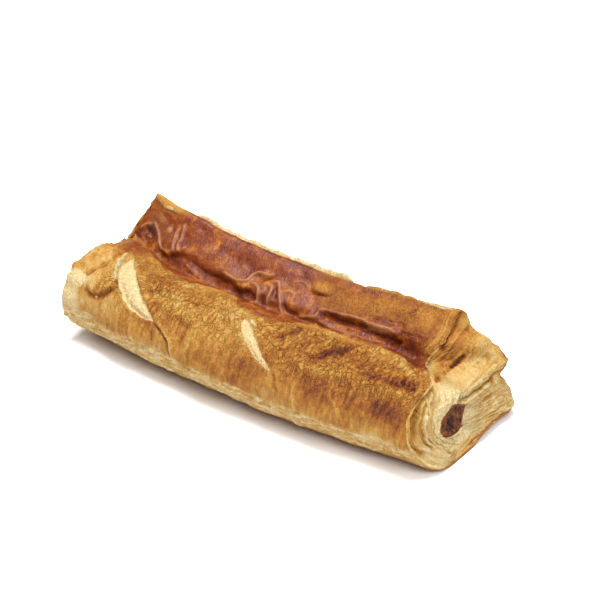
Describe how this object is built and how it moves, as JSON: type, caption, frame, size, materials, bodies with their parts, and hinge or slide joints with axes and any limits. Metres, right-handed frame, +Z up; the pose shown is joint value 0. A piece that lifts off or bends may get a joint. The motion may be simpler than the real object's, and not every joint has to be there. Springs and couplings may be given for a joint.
{
  "type": "sausage roll",
  "caption": "Baked puff pastry folded round a thin meat filling, with a glazed valley along the top, slashes in the rounded front and open ends that show flaky layers.",
  "frame": {"origin": "middle of the outline, on the surface that the roll lies on", "axes": "+Z up, +X along the roll towards the end with the stepped back top sheet, +Y towards the cut side with the ridge"},
  "size_m": [0.166, 0.0668, 0.0403],
  "materials": {
    "pastry": "baked, flaky, glazed on top",
    "filling": "moist minced meat"
  },
  "bodies": {
    "root": {"pastry": "pastry", "filling": "filling"}
  },
  "joints": []
}
